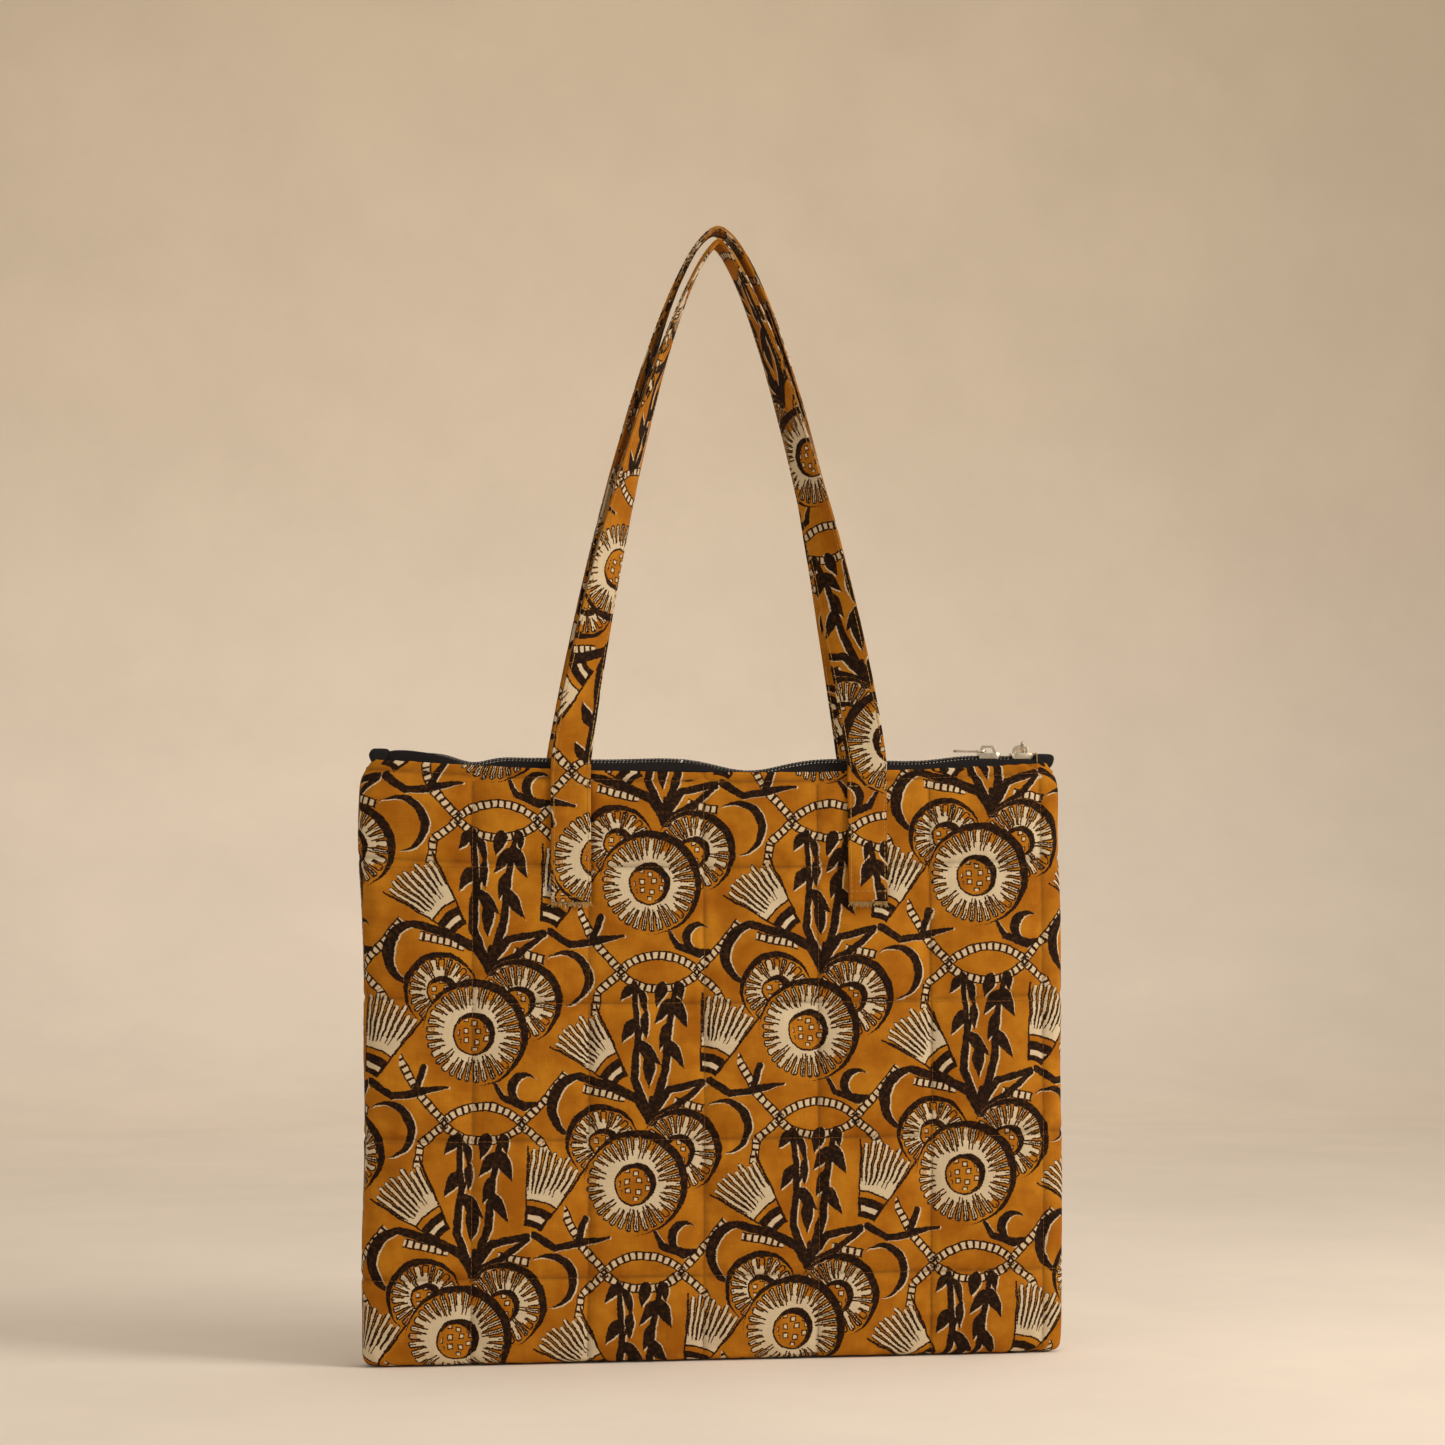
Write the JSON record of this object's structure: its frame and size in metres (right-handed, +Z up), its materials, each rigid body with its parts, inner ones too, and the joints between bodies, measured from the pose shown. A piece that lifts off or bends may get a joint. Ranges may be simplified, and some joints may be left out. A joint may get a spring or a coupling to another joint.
{
  "type": "knitting bag",
  "caption": "Flat quilted cotton knitting bag with a block-printed floral cover, a two-way coil zip along the top and two strap handles.",
  "frame": {"origin": "middle of the base, on the surface that the bag stands on", "axes": "+X along the width to the slider end of the zip, -Y to the front, +Z up"},
  "size_m": [0.38, 0.0358, 0.6153],
  "materials": {
    "cover_print": "mustard quilted cotton, block-printed in dark brown and cream",
    "strap_print": "folded and stitched printed cotton strap",
    "wadding": "off-white wadding",
    "lining": "plain cotton lining",
    "binding": "bias binding",
    "zip_tape": "black woven tape",
    "zip_coil": "black nylon coil",
    "slider_metal": "nickel-plated die casting"
  },
  "bodies": {
    "bag": {"front_cover": "cover_print", "front_wadding": "wadding", "front_lining": "lining", "back_cover": "cover_print", "back_wadding": "wadding", "back_lining": "lining", "seam_binding": "binding", "front_left_strap_end": "strap_print", "front_right_strap_end": "strap_print", "back_left_strap_end": "strap_print", "back_right_strap_end": "strap_print", "front_zip_tape": "zip_tape", "back_zip_tape": "zip_tape", "left_coil_ends": "zip_coil", "right_coil_ends": "zip_coil", "left_end_tab": "zip_tape", "right_end_tab": "zip_tape"},
    "left_slider": {"left_slider": "slider_metal"},
    "right_slider": {"right_slider": "slider_metal"},
    "left_pull": {"left_pull": "slider_metal"},
    "right_pull": {"right_pull": "slider_metal"},
    "front_flap": {"front_zip_flap": "zip_tape", "front_coil": "zip_coil"},
    "back_flap": {"back_zip_flap": "zip_tape", "back_coil": "zip_coil"},
    "front_handle": {"front_handle": "strap_print"},
    "back_handle": {"back_handle": "strap_print"}
  },
  "joints": [
    {"name": "left_slider_travel", "type": "slide", "parent": "bag", "child": "left_slider", "axis": [-1, 0, 0], "range_m": [0, 0.316]},
    {"name": "right_slider_travel", "type": "slide", "parent": "bag", "child": "right_slider", "axis": [-1, 0, 0], "range_m": [0, 0.005]},
    {"name": "left_pull_lift", "type": "hinge", "parent": "left_slider", "child": "left_pull", "pos_m": [0.15015, 0, 0.32887], "axis": [0, 1, 0], "range_deg": [0, 110]},
    {"name": "right_pull_lift", "type": "hinge", "parent": "right_slider", "child": "right_pull", "pos_m": [0.1716, 0, 0.33142], "axis": [1, 0, 0], "range_deg": [0, 150]},
    {"name": "front_flap_open", "type": "hinge", "parent": "bag", "child": "front_flap", "pos_m": [0, -0.0095, 0.3165], "axis": [1, 0, 0], "range_deg": [0, 33]},
    {"name": "back_flap_open", "type": "hinge", "parent": "bag", "child": "back_flap", "pos_m": [0, 0.0095, 0.3165], "axis": [-1, 0, 0], "range_deg": [0, 33]},
    {"name": "front_handle_fall", "type": "hinge", "parent": "bag", "child": "front_handle", "pos_m": [0, -0.0155, 0.31715], "axis": [1, 0, 0], "range_deg": [0, 172]},
    {"name": "back_handle_fall", "type": "hinge", "parent": "bag", "child": "back_handle", "pos_m": [0, 0.0155, 0.31715], "axis": [-1, 0, 0], "range_deg": [0, 172]}
  ]
}
